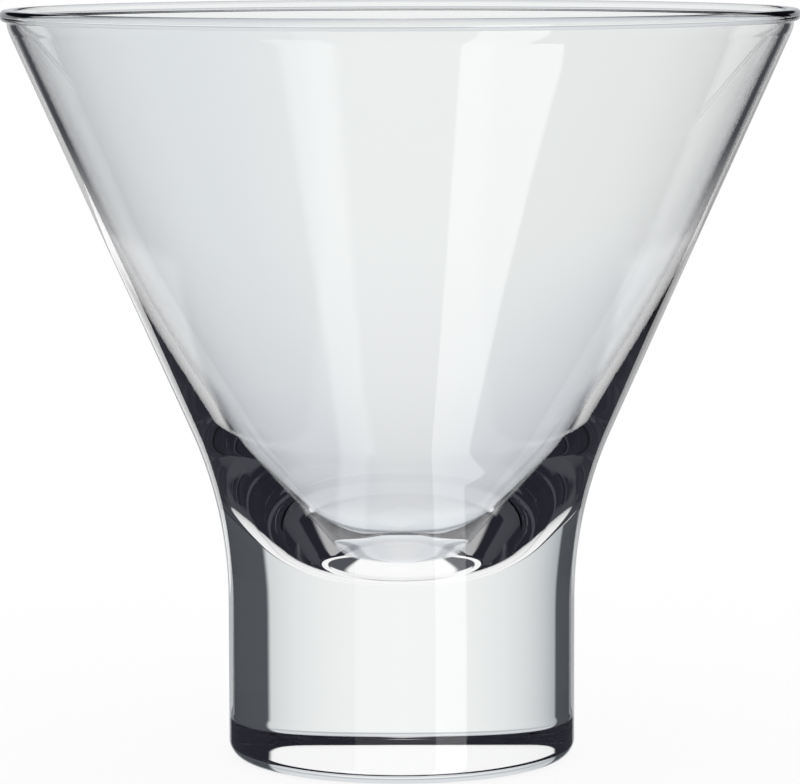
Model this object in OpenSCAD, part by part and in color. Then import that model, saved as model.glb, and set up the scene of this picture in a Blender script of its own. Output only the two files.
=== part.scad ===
// Stemless cocktail glass: a conical bowl with a rounded rim, set in a heavy solid base.
// Every piece is turned about the Z axis. The origin is on the table, in the middle of the base.

/* [Overall] */
// Height from the table to the top of the rim
glass_h = 107.7; // [95:0.1:125]
// Outer diameter of the rim
rim_d = 114; // [100:0.5:130]

/* [Rim] */
// Height of the rounded rim
rim_h = 1.66; // [1.2:0.02:2.2]
// How far the rim stands out past the wall under it
rim_overhang = 1.04; // [0.7:0.02:1.4]
// Thickness of the wall under the rim, measured square to it
lip_wall = 1.25; // [0.9:0.05:1.8]

/* [Bowl] */
// Radius of the curve that turns the wall upright under the rim
lip_r = 4.9; // [3:0.1:8]
// Slant of the wall at the rim, in degrees from upright
lip_slant = 1.8; // [0:0.1:5]
// Thickness, measured level, that the straight wall would have at the top of the base
low_wall = 2.1; // [1.4:0.05:3]
// Radius of the long inside curve in which the wall thickens towards the floor
wall_r = 243; // [180:1:300]
// Height of the bowl's floor above the table
floor_h = 26.7; // [22:0.1:32]
// Diameter of the flat middle of the floor
floor_d = 8.4; // [4:0.2:12]
// Radius of the curve round the floor
floor_r = 13; // [9:0.1:16]
// Thickness of the bowl's floor, down to its seat in the base
floor_t = 6; // [4:0.1:9]

/* [Base] */
// Diameter of the base
base_d = 50; // [44:0.1:60]
// Height at which the base's straight side ends and its flare begins
side_h = 22.8; // [16:0.1:28]
// Radius of the flare from the base up to the bowl
flare_r = 60.7; // [45:0.1:75]
// Radius of the rounded heel at the table
heel_r = 2.4; // [1:0.1:4]
// Share of the bowl's wall at the top of the base that stands on the base's flat shoulder
shoulder_share = 0.55; // [0.45:0.01:0.65]

/* [Hidden] */
$fn = 180;
arc_steps = 24;
glass_tint = [0.86, 0.9, 0.92, 0.45];

// A point at a given angle on a circle, and the points of an arc
function on_circle(centre, r, angle) = centre + r * [cos(angle), sin(angle)];
function arc(centre, r, from, to) =
    [for (i = [0:arc_steps]) on_circle(centre, r, from + (to - from) * i / arc_steps)];

// The same arc without its first point, where it carries on from another curve
function arc_on(centre, r, from, to) =
    [for (i = [1:arc_steps]) on_circle(centre, r, from + (to - from) * i / arc_steps)];

// Angle from upright of the line that leaves a point to touch a circle on its outer side
function touch_slant(point, centre, r) =
    atan2(point.x - centre.x, point.y - centre.y) - asin(r / norm(point - centre));

// Angle from upright of the line that passes between two circles, touching both
function between_slant(low, low_r, high, high_r) =
    atan2(high.x - low.x, high.y - low.y) + asin((low_r + high_r) / norm(high - low));

// Outside: flare circle, lip circle and the straight cone between them
wall_top_h = glass_h - rim_h;
wall_top_r = rim_d / 2 - rim_overhang;
base_r = base_d / 2;
flare_c = [base_r + flare_r, side_h];
lip_c = [wall_top_r, wall_top_h] - lip_r * [cos(lip_slant), -sin(lip_slant)];
cone_slant = between_slant(flare_c, flare_r, lip_c, lip_r);
shoulder = on_circle(flare_c, flare_r, 180 - cone_slant);

// Inside: round the lip, straight down, then the long curve and the curve round the floor
lip_in_r = lip_r - lip_wall;
lip_in_slant = asin(lip_r * sin(lip_slant) / lip_in_r);
lip_in = on_circle(lip_c, lip_in_r, -lip_in_slant);
low_in = shoulder - [low_wall, 0];
wall_slant = between_slant(low_in, 0, lip_c, lip_in_r);
floor_c = [floor_d / 2, floor_h + floor_r];

// The long curve's centre slides down beside the straight wall until it meets the floor's curve smoothly
up_wall = [sin(wall_slant), cos(wall_slant)];
lip_start_c = on_circle(lip_c, lip_in_r - wall_r, -wall_slant);
reach = lip_start_c - floor_c;
climb = reach * up_wall;
wall_c = lip_start_c + up_wall * (sqrt(climb ^ 2 - reach * reach + (wall_r - floor_r) ^ 2) - climb);
floor_slant = atan2(wall_c.y - floor_c.y, floor_c.x - wall_c.x);

// Inside of the wall level with the shoulder, where it is still straight or already on the long curve
curve_start_h = on_circle(wall_c, wall_r, -wall_slant).y;
on_curve_r = wall_c.x + sqrt(wall_r ^ 2 - (shoulder.y - wall_c.y) ^ 2);
shoulder_in_r = shoulder.y > curve_start_h ? low_in.x : on_curve_r;

// Seat between bowl and base: the floor's curve again, lower by the floor's thickness
seat_top = shoulder - [shoulder_share * (shoulder.x - shoulder_in_r), 0];
seat_r = floor_r + floor_t;
seat_slant = touch_slant(seat_top, floor_c, seat_r);

// Outlines of the curved stretches, each listed once and shared by the pieces that meet there
function inside_outline() = concat(
    arc(lip_c, lip_in_r, -lip_in_slant, -wall_slant),
    arc(wall_c, wall_r, -wall_slant, -floor_slant),
    arc_on(floor_c, floor_r, -floor_slant, -90),
    [[0, floor_h]]
);
function seat_outline() = concat(
    [[0, floor_h - floor_t]],
    arc(floor_c, seat_r, -90, -seat_slant),
    [seat_top, shoulder]
);

// Rounded lip: full round outside, a smaller round on its inner edge, flat where it sits on the wall
module rim() {
    bead_r = rim_h / 2;
    inner_r = lip_wall / 2;
    outer_c = [rim_d / 2 - bead_r, wall_top_h + bead_r];
    inner_c = [lip_in.x + inner_r, glass_h - inner_r];
    color(glass_tint)
        rotate_extrude()
            polygon(concat([lip_in], arc(outer_c, bead_r, -90, 90), arc(inner_c, inner_r, 90, 180)));
}

// Conical vessel, closed at the bottom, which stands in the base up to the shoulder
module bowl() {
    lip_curve = arc(lip_c, lip_r, -cone_slant, -lip_slant);
    color(glass_tint)
        rotate_extrude()
            polygon(concat(seat_outline(), lip_curve, inside_outline()));
}

// Solid foot: rounded heel, straight side, flare, shoulder and the seat for the bowl
module base() {
    heel_c = [base_r - heel_r, heel_r];
    seat = seat_outline();
    color(glass_tint)
        rotate_extrude()
            polygon(concat(
                [[0, 0]],
                arc(heel_c, heel_r, -90, 0),
                arc(flare_c, flare_r, 180, 180 - cone_slant),
                [for (i = [len(seat) - 2:-1:0]) seat[i]]
            ));
}

rim();
bowl();
base();
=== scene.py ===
"""Stemless cocktail glass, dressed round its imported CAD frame.

The glass is one turned piece. It stands for the frame's rim, bowl and base together, because three touching
pieces of clear glass would mirror each other where they meet.
"""

import math
from types import SimpleNamespace

import bpy
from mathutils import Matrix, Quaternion, Vector

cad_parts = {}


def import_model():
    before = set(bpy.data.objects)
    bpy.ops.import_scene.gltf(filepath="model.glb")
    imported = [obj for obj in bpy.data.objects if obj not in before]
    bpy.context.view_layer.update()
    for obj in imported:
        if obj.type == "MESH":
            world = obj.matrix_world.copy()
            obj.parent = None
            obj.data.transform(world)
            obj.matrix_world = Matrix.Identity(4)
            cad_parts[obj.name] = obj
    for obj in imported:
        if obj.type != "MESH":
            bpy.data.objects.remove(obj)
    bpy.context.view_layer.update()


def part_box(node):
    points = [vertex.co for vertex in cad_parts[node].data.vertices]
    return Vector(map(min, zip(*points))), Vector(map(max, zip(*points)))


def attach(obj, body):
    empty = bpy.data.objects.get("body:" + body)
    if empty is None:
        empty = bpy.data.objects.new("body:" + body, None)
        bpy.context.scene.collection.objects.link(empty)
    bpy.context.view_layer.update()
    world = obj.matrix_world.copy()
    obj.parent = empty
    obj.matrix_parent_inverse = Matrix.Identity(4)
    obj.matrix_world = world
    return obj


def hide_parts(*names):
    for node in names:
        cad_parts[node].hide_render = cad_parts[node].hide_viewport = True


MM = 0.001

# Sizes of the turned outline in millimetres, beside those that come from the frame
BASE_D = 50
HEEL_R = 2.4
LIP_R = 4.9
LIP_SLANT = math.radians(1.8)
LIP_WALL = 1.25
RIM_OVERHANG = 1.04
LOW_WALL = 2.1
WALL_R = 243
FLOOR_H = 26.7
FLOOR_D = 8.4
FLOOR_R = 13

# How finely the outline's curves and the turning are divided
ARC_STEPS = 32
RIM_STEPS = 14
STEPS_AROUND = 288
WELD_DISTANCE = 0.002 * MM
CREASE_ANGLE = math.radians(35)

# Glass: how it bends light, its faint tint, and the faint waves of pressed glass
GLASS_IOR = 1.377
GLASS_TINT = (0.975, 0.975, 0.975)
GLASS_TINT_WAVES = (0.968, 0.972, 0.975)
WAVE_SCALE = 45
WAVE_HEIGHT = 0.002 * MM
LIGHT_BOUNCES = 24

# Plain white, half a count to tell whole counts apart, and where a Mix node keeps its colour sockets
WHITE = (1, 1, 1)
HALF_COUNT = 0.5
MIX_COLOURS = slice(6, 8)
MIX_RESULT = 2

# Studio, as directions seen from the glass: angles to the left and below the horizon are negative. A white
# panel stands behind the glass and reaches further to the left. It gets darker to its sides and towards its
# top, with a light wing far out on each side.
PANEL_LEFT = math.radians(-43.6)
PANEL_RIGHT = math.radians(31.3)
PANEL_SOFTNESS = math.radians(1.2)
PANEL_FALL_OFF = math.radians(60)
PANEL_LIGHT = (0.945, 0.960, 0.955)
PANEL_FAR_LIGHT = (0.0, 0.05, 0.1)
UPPER_FROM = math.radians(3.5)
UPPER_FULL = math.radians(6)
UPPER_LIGHT = (0.53, 0.56, 0.59)
HIGH_FROM = math.radians(7.5)
HIGH_FULL = math.radians(10.5)
HIGH_LIGHT = (0.76, 0.78, 0.80)
WING_FROM = math.radians(60.5)
WING_LIGHT = (0.40, 0.42, 0.44)
SIDE_ROOM = (0.083, 0.091, 0.101)

# Light is clear where it crosses the whole bowl, or comes from far enough below
BOWL_SURFACES = 4
CLEAR_BELOW = math.radians(-10.8)
CLEAR_FULL_BELOW = math.radians(-15)

# Light that the glass mirrors sees a narrower foot of the panel, which widens downwards after one mirroring,
# and strips of white table, as wide as a share of their depth. After too many mirrorings it sees no white.
FOOT_BELOW = math.radians(-2.5)
FOOT_HALF_ANGLE = math.radians(18)
FOOT_SOFTNESS = math.radians(3)
FOOT_WIDENS_BELOW = math.radians(-11.5)
FOOT_WIDENS = 2
TABLE_BELOW = math.radians(-34)
TABLE_WIDTH_SHARE = 0.5
FAR_TABLE_BELOW = math.radians(-39.5)
FAR_TABLE_WIDTH_SHARE = 0.8
FAR_TABLE_LIGHT = 0.45
TABLE_SOFTNESS = 0.03
MOST_MIRRORINGS = 2

# The dark room round the panel and the table, as mirrored light sees it
ROOM = (0.017, 0.017, 0.025)
LOW_ROOM_TOP = math.radians(-2)
LOW_ROOM_FOOT = math.radians(-30)
LOW_ROOM = (0.062, 0.064, 0.074)
TABLE_ROOM = (0.085, 0.090, 0.100)

# Light that was caught in the rim's bead and leaves it downwards, best to the front
TRAPPED_LIGHT = (0.97, 0.98, 1.0)
TRAPPED_HALF_ANGLE = math.radians(200)
TRAPPED_LOW = math.radians(-58)
TRAPPED_HIGH = math.radians(-18)

# The panel as the skin of the glass mirrors it
SKIN_LIGHT = (0.65, 0.67, 0.70)
SKIN_TOP = math.radians(9)

# What the eye sees through the bowl: white behind it, cooler and darker to the sides and towards the table
BACK_LIGHT = (0.950, 0.966, 0.960)
TABLE_LIGHT = (0.742, 0.757, 0.776)
TABLE_FULL = math.radians(-32)
UNDER_LIGHT = (0.900, 0.930, 0.950)
UNDER_FROM = math.radians(-40)
UNDER_FULL = math.radians(-64)
SIDE_LIGHT = (0.920, 0.938, 0.960)
LEFT_FROM = math.radians(-0.5)
LEFT_FULL = math.radians(-3.5)
RIGHT_FROM = math.radians(0.8)
RIGHT_FULL = math.radians(5)
RIGHT_BELOW = math.radians(-5)
RIGHT_FULL_BELOW = math.radians(-13)
EDGE_LIGHT = (0.45, 0.47, 0.50)
EDGE_FROM = math.radians(15)
EDGE_TO = math.radians(28)
EDGE_SOFTNESS = math.radians(3)
EDGE_BELOW = math.radians(-8.5)
EDGE_FULL_BELOW = math.radians(-11)

# Soft boxes in front, which only the skin of the glass mirrors. What stands low shows in the bowl's slanting
# wall, the rest in the base.
LOW_BOX_TOP = math.radians(-30)
LOW_BOX_FOOT = math.radians(-66)
HIGH_BOX_TOP = math.radians(-4)
BOX_NEAR = math.radians(22)
BOX_FAR = math.radians(43.5)
BOX_SLANT = 1.49
BOX_SLANT_FROM = math.radians(-54.5)
BOX_SLANT_TO = math.radians(-44)
RIGHT_BOX_LIGHT = 4
RIGHT_BOX_SOFTNESS = math.radians(0.8)
LEFT_BOX_LIGHT = 2.7
LEFT_BOX_SOFTNESS = math.radians(3)
LEFT_NEAR = math.radians(24)
LEFT_NARROWS_BELOW = math.radians(-53.2)
LEFT_FAR_SLANT = 9
LEFT_NEAR_SLANT = 4.5
FRONT_BOX_LEFT = math.radians(-31)
FRONT_BOX_LIGHT = 1.2

# Light cards behind the glass: a name, corners (across, up) in millimetres, and how bright each is
CARD_Y = 100
CARDS = (
    ("left_low", ((-76, -14), (-83, 6), (-55, 6), (-55, -14)), 0.8),
    ("left_middle", ((-83, 6), (-94, 28), (-94, 58), (-62, 58), (-55, 6)), 1.6),
    ("left_high", ((-94, 58), (-91, 95), (-62, 95), (-62, 58)), 0.6),
    ("right_low", ((73, -14), (75, 6), (55, 6), (55, -14)), 0.6),
    ("right_middle", ((75, 6), (89, 28), (89, 58), (62, 58), (55, 6)), 0.9),
    ("right_high", ((89, 58), (90, 95), (62, 95), (62, 58)), 0.6),
)

# Floor: how wide in metres, how far under the glass, and how much of its white is lit to show a shadow
FLOOR_WIDTH = 40
FLOOR_GAP = 0.05 * MM
FLOOR_LIT = 0.12

# Camera: where it stands, in millimetres, and how it looks at the glass
IMAGE_W = 800
CAMERA_Y = -627.8
CAMERA_Z = 122.8
CAMERA_PITCH = math.radians(6.374)
CAMERA_ROLL = math.radians(-0.129)
FOCAL_PIXELS = 4389
SENSOR_W = 36
AXIS_OFFSET_PIXELS = 1.07
CLIP_START = 10 * MM


def on_circle(centre, radius, angle):
    """Point on a circle, at an angle in radians from the first axis."""
    return centre + radius * Vector((math.cos(angle), math.sin(angle)))


def arc(centre, radius, start, end, steps=ARC_STEPS):
    """Points of an arc, both ends included."""
    turn = (end - start) / steps
    return [on_circle(centre, radius, start + turn * step) for step in range(steps + 1)]


def cone_to_lip(point, centre, radius):
    """Angle from upright of the line from a low point that touches the lip's circle on its outer side."""
    across, up = centre - point
    return math.atan2(across, up) + math.asin(radius / math.hypot(across, up))


def outside_outline(shoulder, lip_c):
    """Underside's middle, heel, flare and cone, up to the wall's top."""
    base_r = BASE_D / 2
    cone_slant = cone_to_lip(shoulder, lip_c, LIP_R)
    flare_r = (shoulder.x - base_r) / (1 - math.cos(cone_slant))
    flare_c = Vector((base_r + flare_r, shoulder.y - flare_r * math.sin(cone_slant)))
    heel_c = Vector((base_r - HEEL_R, HEEL_R))
    outline = [Vector((0, 0))]
    outline += arc(heel_c, HEEL_R, -math.pi / 2, 0)
    outline += arc(flare_c, flare_r, math.pi, math.pi - cone_slant)
    outline += arc(lip_c, LIP_R, -cone_slant, -LIP_SLANT)
    return outline


def rim_outline(rim_r, glass_h, lip_in):
    """Full round outside and a smaller round on the inner edge."""
    bead_r = (glass_h - lip_in.y) / 2
    inner_r = LIP_WALL / 2
    outer_c = Vector((rim_r - bead_r, lip_in.y + bead_r))
    inner_c = Vector((lip_in.x + inner_r, glass_h - inner_r))
    outer = arc(outer_c, bead_r, -math.pi / 2, math.pi / 2, RIM_STEPS)
    return outer + arc(inner_c, inner_r, math.pi / 2, math.pi, RIM_STEPS)


def inside_outline(shoulder, lip_c, lip_in_r, lip_in_slant):
    """Round the lip, straight down, then the long curve of the wall and the curve round the floor."""
    low_in = shoulder - Vector((LOW_WALL, 0))
    wall_slant = cone_to_lip(low_in, lip_c, lip_in_r)
    floor_c = Vector((FLOOR_D / 2, FLOOR_H + FLOOR_R))
    up_wall = Vector((math.sin(wall_slant), math.cos(wall_slant)))
    lip_start_c = on_circle(lip_c, lip_in_r - WALL_R, -wall_slant)
    reach = lip_start_c - floor_c
    climb = reach.dot(up_wall)
    slide = math.sqrt(climb**2 - reach.dot(reach) + (WALL_R - FLOOR_R) ** 2) - climb
    wall_c = lip_start_c + slide * up_wall
    floor_slant = math.atan2(wall_c.y - floor_c.y, floor_c.x - wall_c.x)
    outline = arc(lip_c, lip_in_r, -lip_in_slant, -wall_slant)
    outline += arc(wall_c, WALL_R, -wall_slant, -floor_slant)
    outline += arc(floor_c, FLOOR_R, -floor_slant, -math.pi / 2)
    return outline + [Vector((0, FLOOR_H))]


def glass_outline():
    """Half section of the glass as (radius, height) in millimetres, from underside to floor."""
    rim_low, rim_high = (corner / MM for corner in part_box("rim"))
    base_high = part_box("base")[1] / MM
    shoulder = Vector((base_high.x, base_high.z))
    wall_top = Vector((rim_high.x - RIM_OVERHANG, rim_low.z))
    lip_c = wall_top - LIP_R * Vector((math.cos(LIP_SLANT), -math.sin(LIP_SLANT)))
    lip_in_r = LIP_R - LIP_WALL
    lip_in_slant = math.asin(LIP_R * math.sin(LIP_SLANT) / lip_in_r)
    lip_in = on_circle(lip_c, lip_in_r, -lip_in_slant)
    outline = outside_outline(shoulder, lip_c)
    outline += rim_outline(rim_high.x, rim_high.z, lip_in)
    return outline + inside_outline(shoulder, lip_c, lip_in_r, lip_in_slant)


def add_node(tree, kind, **settings):
    """New node with its plain settings."""
    node = tree.nodes.new(kind)
    for name, value in settings.items():
        setattr(node, name, value)
    return node


def turning_tree():
    """Geometry Nodes tree that turns an outline in the XZ plane about the Z axis into one closed skin."""
    tree = bpy.data.node_groups.new("turned_glass", "GeometryNodeTree")
    sockets = tree.interface
    sockets.new_socket("Outline", in_out="INPUT", socket_type="NodeSocketGeometry")
    sockets.new_socket("Steps Around", in_out="INPUT", socket_type="NodeSocketInt")
    sockets.new_socket("Weld Distance", in_out="INPUT", socket_type="NodeSocketFloat")
    sockets.new_socket("Crease Angle", in_out="INPUT", socket_type="NodeSocketFloat")
    sockets.new_socket("Glass", in_out="INPUT", socket_type="NodeSocketMaterial")
    sockets.new_socket("Skin", in_out="OUTPUT", socket_type="NodeSocketGeometry")
    link = tree.links.new
    given = add_node(tree, "NodeGroupInput").outputs

    # A grid with one column for each step and one row for each point of the outline
    count = add_node(tree, "GeometryNodeAttributeDomainSize", component="MESH")
    columns = add_node(tree, "FunctionNodeIntegerMath", operation="ADD")
    columns.inputs[1].default_value = 1
    grid = add_node(tree, "GeometryNodeMeshGrid")
    link(given["Outline"], count.inputs["Geometry"])
    link(given["Steps Around"], columns.inputs[0])
    link(columns.outputs[0], grid.inputs["Vertices X"])
    link(count.outputs["Point Count"], grid.inputs["Vertices Y"])

    # Which step and which point of the outline a grid vertex is
    index = add_node(tree, "GeometryNodeInputIndex")
    step = add_node(tree, "FunctionNodeIntegerMath", operation="DIVIDE")
    point = add_node(tree, "FunctionNodeIntegerMath", operation="MODULO")
    for node in (step, point):
        link(index.outputs[0], node.inputs[0])
        link(count.outputs["Point Count"], node.inputs[1])

    # The outline's point, turned by the step's angle
    place = add_node(tree, "GeometryNodeInputPosition")
    sample = add_node(tree, "GeometryNodeSampleIndex", data_type="FLOAT_VECTOR", domain="POINT")
    link(given["Outline"], sample.inputs["Geometry"])
    link(place.outputs[0], sample.inputs["Value"])
    link(point.outputs[0], sample.inputs["Index"])
    share = add_node(tree, "ShaderNodeMath", operation="DIVIDE")
    link(step.outputs[0], share.inputs[0])
    link(given["Steps Around"], share.inputs[1])
    angle = add_node(tree, "ShaderNodeMath", operation="MULTIPLY")
    angle.inputs[1].default_value = math.tau
    link(share.outputs[0], angle.inputs[0])
    turn = add_node(tree, "ShaderNodeVectorRotate", rotation_type="Z_AXIS")
    link(sample.outputs[0], turn.inputs["Vector"])
    link(angle.outputs[0], turn.inputs["Angle"])
    moved = add_node(tree, "GeometryNodeSetPosition")
    link(grid.outputs["Mesh"], moved.inputs["Geometry"])
    link(turn.outputs[0], moved.inputs["Position"])

    # Seam and poles closed, smooth except at creases
    weld = add_node(tree, "GeometryNodeMergeByDistance")
    link(moved.outputs[0], weld.inputs["Geometry"])
    link(given["Weld Distance"], weld.inputs["Distance"])
    edge = add_node(tree, "GeometryNodeInputMeshEdgeAngle")
    soft = add_node(tree, "FunctionNodeCompare", data_type="FLOAT", operation="LESS_THAN")
    link(edge.outputs["Unsigned Angle"], soft.inputs["A"])
    link(given["Crease Angle"], soft.inputs["B"])
    faces = add_node(tree, "GeometryNodeSetShadeSmooth", domain="FACE")
    edges = add_node(tree, "GeometryNodeSetShadeSmooth", domain="EDGE")
    link(weld.outputs[0], faces.inputs["Geometry"])
    link(faces.outputs[0], edges.inputs["Geometry"])
    link(soft.outputs[0], edges.inputs["Shade Smooth"])

    whole = add_node(tree, "GeometryNodeRealizeInstances")
    painted = add_node(tree, "GeometryNodeSetMaterial")
    link(edges.outputs[0], whole.inputs["Geometry"])
    link(whole.outputs[0], painted.inputs["Geometry"])
    link(given["Glass"], painted.inputs["Material"])
    link(painted.outputs[0], add_node(tree, "NodeGroupOutput").inputs["Skin"])
    return tree


def set_inputs(modifier, **values):
    """Sets a Geometry Nodes modifier's inputs by name. Underscores stand for spaces."""
    for socket in modifier.node_group.interface.items_tree:
        key = socket.name.replace(" ", "_")
        if socket.in_out == "INPUT" and key in values:
            modifier[socket.identifier] = values[key]


def turned_piece(name, outline, material):
    """Plain mesh object of an outline turned about the Z axis."""
    chain = bpy.data.meshes.new(name + "_outline")
    chain.from_pydata([(point.x * MM, 0, point.y * MM) for point in outline], [], [])
    carrier = bpy.data.objects.new(name + "_outline", chain)
    bpy.context.collection.objects.link(carrier)
    lathe = carrier.modifiers.new("turning", "NODES")
    lathe.node_group = turning_tree()
    set_inputs(
        lathe,
        Steps_Around=STEPS_AROUND,
        Weld_Distance=WELD_DISTANCE,
        Crease_Angle=CREASE_ANGLE,
        Glass=material,
    )
    graph = bpy.context.evaluated_depsgraph_get()
    mesh = bpy.data.meshes.new_from_object(carrier.evaluated_get(graph), depsgraph=graph)
    mesh.name = name
    carrier.modifiers.remove(lathe)
    bpy.data.objects.remove(carrier)
    piece = bpy.data.objects.new(name, mesh)
    bpy.context.collection.objects.link(piece)
    return piece


def clear_glass():
    """Clear fire-polished glass, with the faint waves of a pressed piece in its skin and its tint."""
    material = bpy.data.materials.new("clear_glass")
    material.use_nodes = True
    tree = material.node_tree
    shader = tree.nodes["Principled BSDF"]
    shader.inputs["IOR"].default_value = GLASS_IOR
    shader.inputs["Transmission Weight"].default_value = 1
    shader.inputs["Roughness"].default_value = 0
    place = add_node(tree, "ShaderNodeTexCoord").outputs["Object"]
    waves = add_node(tree, "ShaderNodeTexNoise")
    waves.inputs["Scale"].default_value = WAVE_SCALE
    tree.links.new(place, waves.inputs["Vector"])
    tint = blend_colours(tree, waves.outputs["Fac"], GLASS_TINT, GLASS_TINT_WAVES)
    tree.links.new(tint, shader.inputs["Base Color"])
    skin = add_node(tree, "ShaderNodeBump")
    skin.inputs["Distance"].default_value = WAVE_HEIGHT
    tree.links.new(waves.outputs["Fac"], skin.inputs["Height"])
    tree.links.new(skin.outputs["Normal"], shader.inputs["Normal"])
    return material


def calc(tree, operation, *values):
    """Result of a Math node. Each value is a number or another node's output."""
    node = add_node(tree, "ShaderNodeMath", operation=operation)
    for socket, value in zip(node.inputs, values):
        if isinstance(value, (int, float)):
            socket.default_value = value
        else:
            tree.links.new(value, socket)
    return node.outputs[0]


def fade(tree, value, none_at, full_at):
    """Smooth mask that is 0 where the value is none_at and 1 where it is full_at."""
    node = add_node(tree, "ShaderNodeMapRange", interpolation_type="SMOOTHSTEP")
    tree.links.new(value, node.inputs["Value"])
    node.inputs["From Min"].default_value = none_at
    node.inputs["From Max"].default_value = full_at
    return node.outputs["Result"]


def blend_colours(tree, mask, none, full, blend_type="MIX"):
    """Colour that goes from none to full with the mask. Each is a colour or another node's output."""
    node = add_node(tree, "ShaderNodeMix", data_type="RGBA", blend_type=blend_type)
    tree.links.new(mask, node.inputs[0])
    for socket, colour in zip(node.inputs[MIX_COLOURS], (none, full)):
        if isinstance(colour, tuple):
            socket.default_value = (*colour, 1)
        else:
            tree.links.new(colour, socket)
    return node.outputs[MIX_RESULT]


def past(tree, value, edge, softness):
    """Smooth mask that is 1 above an edge."""
    return fade(tree, value, edge - softness, edge + softness)


def before(tree, value, edge, softness):
    """Smooth mask that is 1 below an edge."""
    return fade(tree, value, edge + softness, edge - softness)


def product(tree, *values):
    """Values multiplied. Of masks it is the mask where all of them hold."""
    result = values[0]
    for value in values[1:]:
        result = calc(tree, "MULTIPLY", result, value)
    return result


def opposite(tree, mask):
    """Mask that is 1 where the given one is 0."""
    return calc(tree, "SUBTRACT", 1, mask)


def between(tree, value, start, end, softness):
    """Smooth mask that is 1 between two edges."""
    return product(tree, past(tree, value, start, softness), before(tree, value, end, softness))


def ray_facts(tree):
    """Where a light ray heads, and how often the glass mirrored it or let it cross a surface."""
    path = add_node(tree, "ShaderNodeLightPath").outputs
    split = add_node(tree, "ShaderNodeSeparateXYZ")
    tree.links.new(add_node(tree, "ShaderNodeTexCoord").outputs["Generated"], split.inputs[0])
    x, y, z = split.outputs
    from_back = calc(tree, "ARCTAN2", x, y)
    mirrorings = path["Glossy Depth"]
    crossings = path["Transmission Depth"]
    once = calc(tree, "LESS_THAN", mirrorings, 1 + HALF_COUNT)
    was_inside = calc(tree, "GREATER_THAN", crossings, HALF_COUNT)
    return SimpleNamespace(
        x=x,
        z=z,
        height=calc(tree, "ARCSINE", z),
        from_back=from_back,
        aside=calc(tree, "ABSOLUTE", from_back),
        from_front=calc(tree, "ARCTAN2", x, product(tree, y, -1)),
        was_mirrored=calc(tree, "GREATER_THAN", mirrorings, HALF_COUNT),
        was_inside=was_inside,
        once=once,
        once_inside=product(tree, once, was_inside),
        not_lost=calc(tree, "LESS_THAN", mirrorings, MOST_MIRRORINGS + HALF_COUNT),
        whole_bowl=calc(tree, "GREATER_THAN", crossings, BOWL_SURFACES - HALF_COUNT),
    )


def panel_mask(tree, ray):
    """Smooth mask of the panel's width."""
    return between(tree, ray.from_back, PANEL_LEFT, PANEL_RIGHT, PANEL_SOFTNESS)


def panel_light(tree, ray):
    """Light of the panel, by how far from its middle and how high."""
    turned = calc(tree, "DIVIDE", ray.from_back, PANEL_FALL_OFF)
    light = blend_colours(tree, product(tree, turned, turned), PANEL_LIGHT, PANEL_FAR_LIGHT)
    light = blend_colours(tree, fade(tree, ray.height, UPPER_FROM, UPPER_FULL), light, UPPER_LIGHT)
    return blend_colours(tree, fade(tree, ray.height, HIGH_FROM, HIGH_FULL), light, HIGH_LIGHT)


def bowl_light(tree, ray):
    """Clear light as the eye sees it through the bowl."""
    light = blend_colours(tree, fade(tree, ray.height, 0, TABLE_FULL), BACK_LIGHT, TABLE_LIGHT)
    light = blend_colours(tree, fade(tree, ray.height, UNDER_FROM, UNDER_FULL), light, UNDER_LIGHT)
    below = fade(tree, ray.height, RIGHT_BELOW, RIGHT_FULL_BELOW)
    right = product(tree, fade(tree, ray.from_back, RIGHT_FROM, RIGHT_FULL), below)
    side = calc(tree, "MAXIMUM", fade(tree, ray.from_back, LEFT_FROM, LEFT_FULL), right)
    light = blend_colours(tree, side, light, SIDE_LIGHT, "MULTIPLY")
    edge = between(tree, ray.aside, EDGE_FROM, EDGE_TO, EDGE_SOFTNESS)
    edge = product(tree, edge, fade(tree, ray.height, EDGE_BELOW, EDGE_FULL_BELOW))
    return blend_colours(tree, edge, light, EDGE_LIGHT, "MULTIPLY")


def straight_light(tree, ray):
    """Light that was not mirrored: the panel and its wings, or clear light."""
    wings = past(tree, ray.aside, WING_FROM, PANEL_SOFTNESS)
    light = blend_colours(tree, wings, SIDE_ROOM, WING_LIGHT)
    light = blend_colours(tree, panel_mask(tree, ray), light, panel_light(tree, ray))
    from_below = fade(tree, ray.height, CLEAR_BELOW, CLEAR_FULL_BELOW)
    clear = calc(tree, "MAXIMUM", ray.whole_bowl, from_below)
    return blend_colours(tree, clear, light, bowl_light(tree, ray))


def table_mask(tree, ray, below, width_share):
    """Smooth mask of a strip of table under the glass, seen below an angle."""
    half_strip = product(tree, ray.z, width_share)
    past_edge = calc(tree, "ADD", calc(tree, "ABSOLUTE", ray.x), half_strip)
    across = before(tree, past_edge, 0, TABLE_SOFTNESS)
    return product(tree, across, before(tree, ray.height, below, TABLE_SOFTNESS))


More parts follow.
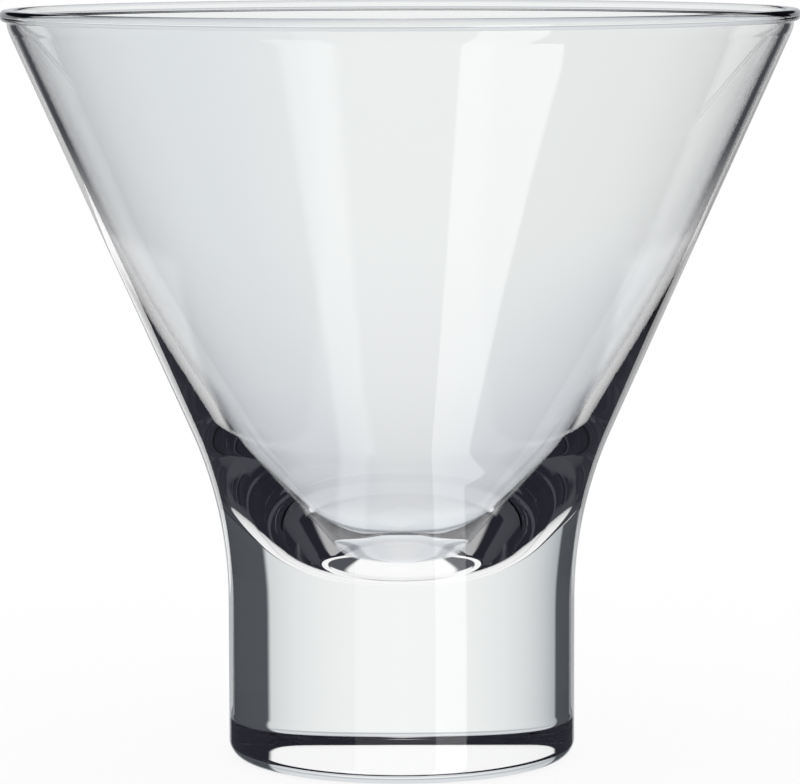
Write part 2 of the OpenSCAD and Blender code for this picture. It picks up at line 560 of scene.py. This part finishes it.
def mirrored_white(tree, ray):
    """Mask of the white that mirrored light sees: the panel, its foot and the table."""
    depth = calc(tree, "MAXIMUM", calc(tree, "SUBTRACT", FOOT_WIDENS_BELOW, ray.height), 0)
    widening = product(tree, depth, FOOT_WIDENS, ray.once_inside)
    past_widening = calc(tree, "SUBTRACT", ray.aside, widening)
    low = before(tree, ray.height, FOOT_BELOW, PANEL_SOFTNESS)
    above_table = past(tree, ray.height, TABLE_BELOW, TABLE_SOFTNESS)
    foot = product(tree, before(tree, past_widening, FOOT_HALF_ANGLE, FOOT_SOFTNESS), low, above_table)
    upper_panel = product(tree, panel_mask(tree, ray), opposite(tree, low))
    backdrop = calc(tree, "ADD", upper_panel, foot)
    table = product(tree, table_mask(tree, ray, TABLE_BELOW, TABLE_WIDTH_SHARE), ray.once)
    far_table = table_mask(tree, ray, FAR_TABLE_BELOW, FAR_TABLE_WIDTH_SHARE)
    far_table = product(tree, far_table, FAR_TABLE_LIGHT, opposite(tree, ray.once))
    white = calc(tree, "MAXIMUM", backdrop, calc(tree, "ADD", table, far_table))
    return product(tree, white, ray.not_lost)


def room_light(tree, ray):
    """The dark room as mirrored light sees it."""
    low_room = between(tree, ray.height, LOW_ROOM_FOOT, LOW_ROOM_TOP, PANEL_SOFTNESS)
    light = blend_colours(tree, low_room, ROOM, LOW_ROOM)
    above_table = past(tree, ray.height, TABLE_BELOW, TABLE_SOFTNESS)
    by_table = product(tree, opposite(tree, above_table), ray.once_inside)
    return blend_colours(tree, by_table, light, TABLE_ROOM)


def trapped_mask(tree, ray):
    """Smooth mask of light that was caught in the rim's bead and leaves it downwards."""
    to_front = fade(tree, calc(tree, "ABSOLUTE", ray.from_front), TRAPPED_HALF_ANGLE, 0)
    downwards = between(tree, ray.height, TRAPPED_LOW, TRAPPED_HIGH, PANEL_SOFTNESS)
    return product(tree, opposite(tree, ray.not_lost), ray.whole_bowl, to_front, downwards)


def right_box(tree, ray, low_box, high_box):
    """Mask of the box in front on the right. Its far side slants where it stands low."""
    above_foot = calc(tree, "SUBTRACT", ray.height, BOX_SLANT_FROM)
    slanting = fade(tree, ray.height, BOX_SLANT_TO + PANEL_SOFTNESS, BOX_SLANT_TO)
    slant = product(tree, above_foot, BOX_SLANT, slanting)
    to_far = calc(tree, "SUBTRACT", ray.from_front, slant)
    past_near = past(tree, ray.from_front, BOX_NEAR, RIGHT_BOX_SOFTNESS)
    slanted = product(tree, past_near, before(tree, to_far, BOX_FAR, RIGHT_BOX_SOFTNESS), low_box)
    upright = product(tree, between(tree, ray.from_front, BOX_NEAR, BOX_FAR, RIGHT_BOX_SOFTNESS), high_box)
    return calc(tree, "MAXIMUM", slanted, upright)


def left_box(tree, ray, low_box):
    """Mask of the box in front on the left, which narrows towards its foot."""
    narrowing = calc(tree, "MINIMUM", calc(tree, "SUBTRACT", ray.height, LEFT_NARROWS_BELOW), 0)
    turned = product(tree, ray.from_front, -1)
    to_far = calc(tree, "SUBTRACT", turned, product(tree, narrowing, LEFT_FAR_SLANT))
    to_near = calc(tree, "SUBTRACT", turned, product(tree, narrowing, LEFT_NEAR_SLANT))
    before_far = before(tree, to_far, BOX_FAR, LEFT_BOX_SOFTNESS)
    return product(tree, before_far, past(tree, to_near, LEFT_NEAR, LEFT_BOX_SOFTNESS), low_box)


def add_boxes(tree, ray, light):
    """Light on the skin with the soft boxes in front added."""
    low_box = between(tree, ray.height, LOW_BOX_FOOT, LOW_BOX_TOP, PANEL_SOFTNESS)
    high_box = between(tree, ray.height, LOW_BOX_TOP, HIGH_BOX_TOP, PANEL_SOFTNESS)
    middle = between(tree, ray.from_front, FRONT_BOX_LEFT, BOX_NEAR, RIGHT_BOX_SOFTNESS)
    boxes = (
        (right_box(tree, ray, low_box, high_box), RIGHT_BOX_LIGHT),
        (left_box(tree, ray, low_box), LEFT_BOX_LIGHT),
        (product(tree, middle, high_box), FRONT_BOX_LIGHT),
    )
    for box, strength in boxes:
        light = blend_colours(tree, box, light, (strength, strength, strength))
    return light


def set_world():
    """White for the eye and for matt things. By way of the glass: panel, table and boxes in a dark room."""
    world = bpy.data.worlds.new("studio")
    bpy.context.scene.world = world
    world.use_nodes = True
    tree = world.node_tree
    ray = ray_facts(tree)
    white = mirrored_white(tree, ray)
    room = room_light(tree, ray)

    # Mirrored inside the glass, or by its skin alone
    inside = blend_colours(tree, white, room, WHITE)
    inside = blend_colours(tree, trapped_mask(tree, ray), inside, TRAPPED_LIGHT)
    under_top = before(tree, ray.height, SKIN_TOP, PANEL_SOFTNESS)
    on_skin = blend_colours(tree, product(tree, white, under_top), room, SKIN_LIGHT)
    on_skin = add_boxes(tree, ray, on_skin)
    mirrored = blend_colours(tree, ray.was_inside, on_skin, inside)

    by_glass = blend_colours(tree, ray.was_mirrored, straight_light(tree, ray), mirrored)
    touches_glass = calc(tree, "MAXIMUM", ray.was_mirrored, ray.was_inside)
    sky = tree.nodes["Background"]
    tree.links.new(blend_colours(tree, touches_glass, WHITE, by_glass), sky.inputs["Color"])
    sky.inputs["Strength"].default_value = 1


def glowing_white(name, grey, light):
    """Matt grey that also gives white light."""
    material = bpy.data.materials.new(name)
    material.use_nodes = True
    shader = material.node_tree.nodes["Principled BSDF"]
    shader.inputs["Base Color"].default_value = (grey, grey, grey, 1)
    shader.inputs["Roughness"].default_value = 1
    shader.inputs["Specular IOR Level"].default_value = 0
    shader.inputs["Emission Color"].default_value = (*WHITE, 1)
    shader.inputs["Emission Strength"].default_value = light
    return material


def flat_piece(name, corners, material):
    """One flat face between its corners."""
    mesh = bpy.data.meshes.new(name)
    mesh.from_pydata(corners, [], [range(len(corners))])
    mesh.materials.append(material)
    piece = bpy.data.objects.new(name, mesh)
    bpy.context.collection.objects.link(piece)
    return piece


def pale_floor():
    """Wide white floor that keeps the glass's soft shadow."""
    half = FLOOR_WIDTH / 2
    corners = ((-half, -half), (half, -half), (half, half), (-half, half))
    white = glowing_white("pale_floor", FLOOR_LIT, 1 - FLOOR_LIT)
    floor = flat_piece("floor", [(x, y, -FLOOR_GAP) for x, y in corners], white)
    floor.visible_transmission = False
    floor.visible_glossy = False


def light_card(name, corners, light):
    """Bright card behind the glass that only the glass's skin mirrors, as a light line along its outline."""
    places = [Vector((across, CARD_Y, up)) * MM for across, up in corners]
    card = flat_piece(name, places, glowing_white(name, 0, light))
    card.visible_camera = False
    card.visible_diffuse = False
    card.visible_transmission = False
    card.visible_shadow = False


def set_camera():
    """Camera at the photograph's viewing angle."""
    lens = bpy.data.cameras.new("camera")
    lens.sensor_fit = "HORIZONTAL"
    lens.sensor_width = SENSOR_W
    lens.lens = FOCAL_PIXELS * SENSOR_W / IMAGE_W
    lens.clip_start = CLIP_START
    camera = bpy.data.objects.new("camera", lens)
    bpy.context.collection.objects.link(camera)
    camera.location = Vector((0, CAMERA_Y, CAMERA_Z)) * MM
    yaw = Quaternion((0, 0, 1), math.atan(AXIS_OFFSET_PIXELS / FOCAL_PIXELS))
    pitch = Quaternion((1, 0, 0), math.pi / 2 - CAMERA_PITCH)
    roll = Quaternion((0, 0, 1), CAMERA_ROLL)
    camera.rotation_mode = "QUATERNION"
    camera.rotation_quaternion = yaw @ pitch @ roll
    bpy.context.scene.camera = camera


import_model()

glass = turned_piece("glass", glass_outline(), clear_glass())
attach(glass, "root")
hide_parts("rim", "bowl", "base")

pale_floor()
for card in CARDS:
    light_card(*card)
set_world()
set_camera()
bpy.context.scene.view_settings.view_transform = "Standard"

# Light is guided a long way inside the thick glass
cycles = bpy.context.scene.cycles
cycles.max_bounces = LIGHT_BOUNCES
cycles.glossy_bounces = LIGHT_BOUNCES
cycles.transmission_bounces = LIGHT_BOUNCES
